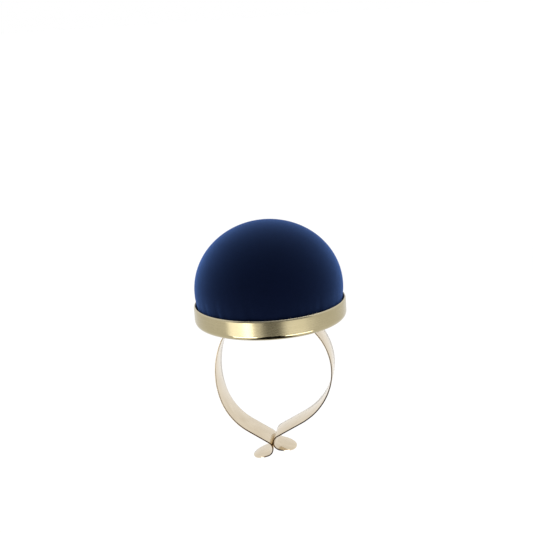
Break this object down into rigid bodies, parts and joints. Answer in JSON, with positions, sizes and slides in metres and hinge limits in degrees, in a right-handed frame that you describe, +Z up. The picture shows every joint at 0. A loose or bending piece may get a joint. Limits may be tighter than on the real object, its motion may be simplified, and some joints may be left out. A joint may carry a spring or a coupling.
{
  "type": "wrist pin cushion",
  "caption": "Domed fabric pin cushion in a shallow gilt metal cup, riveted to a sprung metal bracelet that opens to go round the wrist.",
  "frame": {"origin": "middle of the flat underside of the band's saddle, where the wrist sits", "axes": "+Z up through the crown of the dome; the bracelet's loop hangs below in the XZ plane and the wrist passes through along Y"},
  "size_m": [0.066, 0.066, 0.1072],
  "materials": {
    "navy_cloth": "fine matte navy blue cloth, stretched smooth over the dome",
    "wadding": "packed off-white wadding",
    "greyboard": "plain grey fibre board",
    "thread": "strong navy sewing thread",
    "gilt_cup": "satin gilt, brushed round the wall",
    "washer": "plain brass",
    "rivet": "polished pale gilt",
    "polished_gilt": "bright polished pale gilt"
  },
  "bodies": {
    "head": {"cup": "gilt_cup", "fabric_cover": "navy_cloth", "stuffing": "wadding", "backing_disc": "greyboard", "gather_thread": "thread", "washer_left": "washer", "washer_right": "washer", "rivet_left": "rivet", "rivet_right": "rivet", "band_saddle": "polished_gilt"},
    "left_arm": {"band_arm_left": "polished_gilt"},
    "right_arm": {"band_arm_right": "polished_gilt"}
  },
  "joints": [
    {"name": "left_arm_flex", "type": "hinge", "parent": "head", "child": "left_arm", "pos_m": [-0.0163, 0, -0.00149], "axis": [0, 1, 0], "range_deg": [0, 20], "stiffness_Nm_per_rad": 1},
    {"name": "right_arm_flex", "type": "hinge", "parent": "head", "child": "right_arm", "pos_m": [0.01625, 0, -0.00089], "axis": [0, -1, 0], "range_deg": [0, 20], "stiffness_Nm_per_rad": 1}
  ]
}
